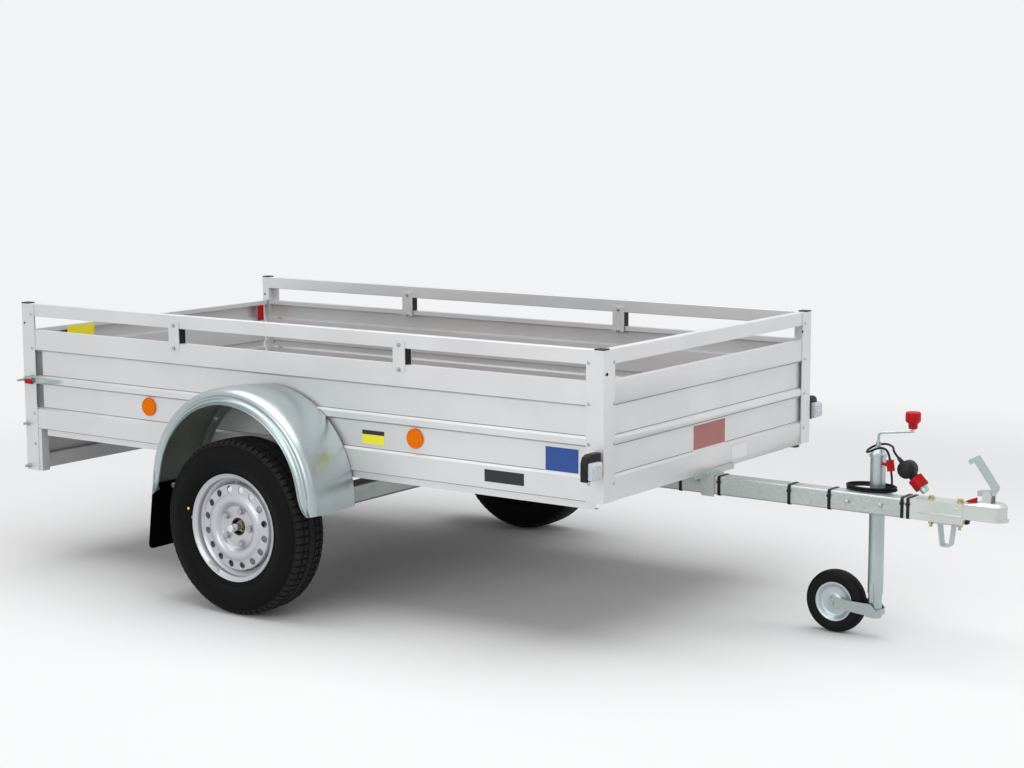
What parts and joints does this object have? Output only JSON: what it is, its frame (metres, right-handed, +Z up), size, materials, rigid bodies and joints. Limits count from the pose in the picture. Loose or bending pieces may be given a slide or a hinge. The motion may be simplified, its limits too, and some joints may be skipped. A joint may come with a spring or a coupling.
{
  "type": "utility trailer",
  "caption": "Single-axle box trailer with formed sheet walls, hand rails, drop-down tailgate, half-round mudguards, ball coupling and a swivelling jockey wheel.",
  "frame": {"origin": "on the ground under the middle of the trailer's overall box", "axes": "+X forward to the coupling, +Y left, +Z up"},
  "size_m": [3.493, 1.8324, 0.9398],
  "materials": {
    "silver_sheet": "satin rolled sheet",
    "galvanised_steel": "hot-dip galvanised",
    "wheel_silver": "silver paint",
    "zinc_nut": "yellow zinc",
    "tyre_rubber": "black rubber",
    "black_rubber": "black rubber",
    "black_plastic": "moulded plastic",
    "red_plastic": "red plastic",
    "cable_black": "cable sheath",
    "red_lens": "lamp lens",
    "clear_lens": "clear lens",
    "amber_lens": "amber reflector",
    "floor_board": "film-faced plywood"
  },
  "bodies": {
    "chassis": {"side_panel_right": "silver_sheet", "side_panel_left": "silver_sheet", "front_panel": "silver_sheet", "front_posts": "silver_sheet", "rear_posts": "silver_sheet", "rear_legs": "silver_sheet", "post_caps": "black_plastic", "side_rails": "silver_sheet", "front_rail": "silver_sheet", "rail_straps": "silver_sheet", "strap_blocks": "black_plastic", "floor_panel": "floor_board", "crossmembers": "galvanised_steel", "light_beam": "silver_sheet", "tail_lamp_housings": "black_plastic", "tail_lamp_lenses": "red_lens", "plate_lamps": "black_plastic", "hinge_pins": "galvanised_steel", "gate_latches": "galvanised_steel", "axle_beam": "galvanised_steel", "swing_arms": "galvanised_steel", "axle_nuts": "zinc_nut", "axle_rubbers": "black_rubber", "axle_hangers": "galvanised_steel", "mudguard_right": "galvanised_steel", "mudguard_left": "galvanised_steel", "mudflaps": "black_rubber", "drawbar": "galvanised_steel", "drawbar_saddle": "galvanised_steel", "axle_saddle": "galvanised_steel", "coupling_head": "galvanised_steel", "coupling_lever": "galvanised_steel", "safety_loop": "galvanised_steel", "jockey_tube": "galvanised_steel", "jockey_clamp": "galvanised_steel", "jockey_crank": "galvanised_steel", "crank_knob": "red_plastic", "reflectors": "amber_lens", "marker_brackets": "black_plastic", "marker_lenses": "clear_lens", "cable_gland": "black_plastic", "cable_run": "cable_black", "cable_coil": "cable_black", "cable_lead": "cable_black", "cable_loop": "cable_black", "plug_body": "black_plastic", "plug_collar": "red_plastic", "plug_park": "red_plastic"},
    "tailgate": {"tailgate": "silver_sheet"},
    "wheel_right": {"rim_right": "wheel_silver", "tyre_right": "tyre_rubber", "hub_right": "wheel_silver"},
    "wheel_left": {"rim_left": "wheel_silver", "tyre_left": "tyre_rubber", "hub_left": "wheel_silver"},
    "jockey_leg": {"jockey_leg_tube": "galvanised_steel"},
    "jockey_castor": {"castor_fork": "galvanised_steel"},
    "jockey_wheel": {"castor_rim": "wheel_silver", "castor_tyre": "tyre_rubber"}
  },
  "joints": [
    {"name": "tailgate_hinge", "type": "hinge", "parent": "chassis", "child": "tailgate", "pos_m": [-1.73, 0, 0.4975], "axis": [0, -1, 0], "range_deg": [0, 150]},
    {"name": "wheel_right_spin", "type": "hinge", "parent": "chassis", "child": "wheel_right", "pos_m": [-0.5315, -0.8095, 0.289], "axis": [0, 1, 0], "continuous": true},
    {"name": "wheel_left_spin", "type": "hinge", "parent": "chassis", "child": "wheel_left", "pos_m": [-0.5315, 0.8095, 0.289], "axis": [0, 1, 0], "continuous": true},
    {"name": "jockey_leg_slide", "type": "slide", "parent": "chassis", "child": "jockey_leg", "axis": [0, 0, -1], "range_m": [-0.02, 0.18]},
    {"name": "jockey_castor_swivel", "type": "hinge", "parent": "jockey_leg", "child": "jockey_castor", "pos_m": [1.3015, 0.058, 0.08], "axis": [0, 0, 1], "continuous": true},
    {"name": "jockey_wheel_spin", "type": "hinge", "parent": "jockey_castor", "child": "jockey_wheel", "pos_m": [1.1705, 0.058, 0.1], "axis": [0, 1, 0], "continuous": true}
  ]
}
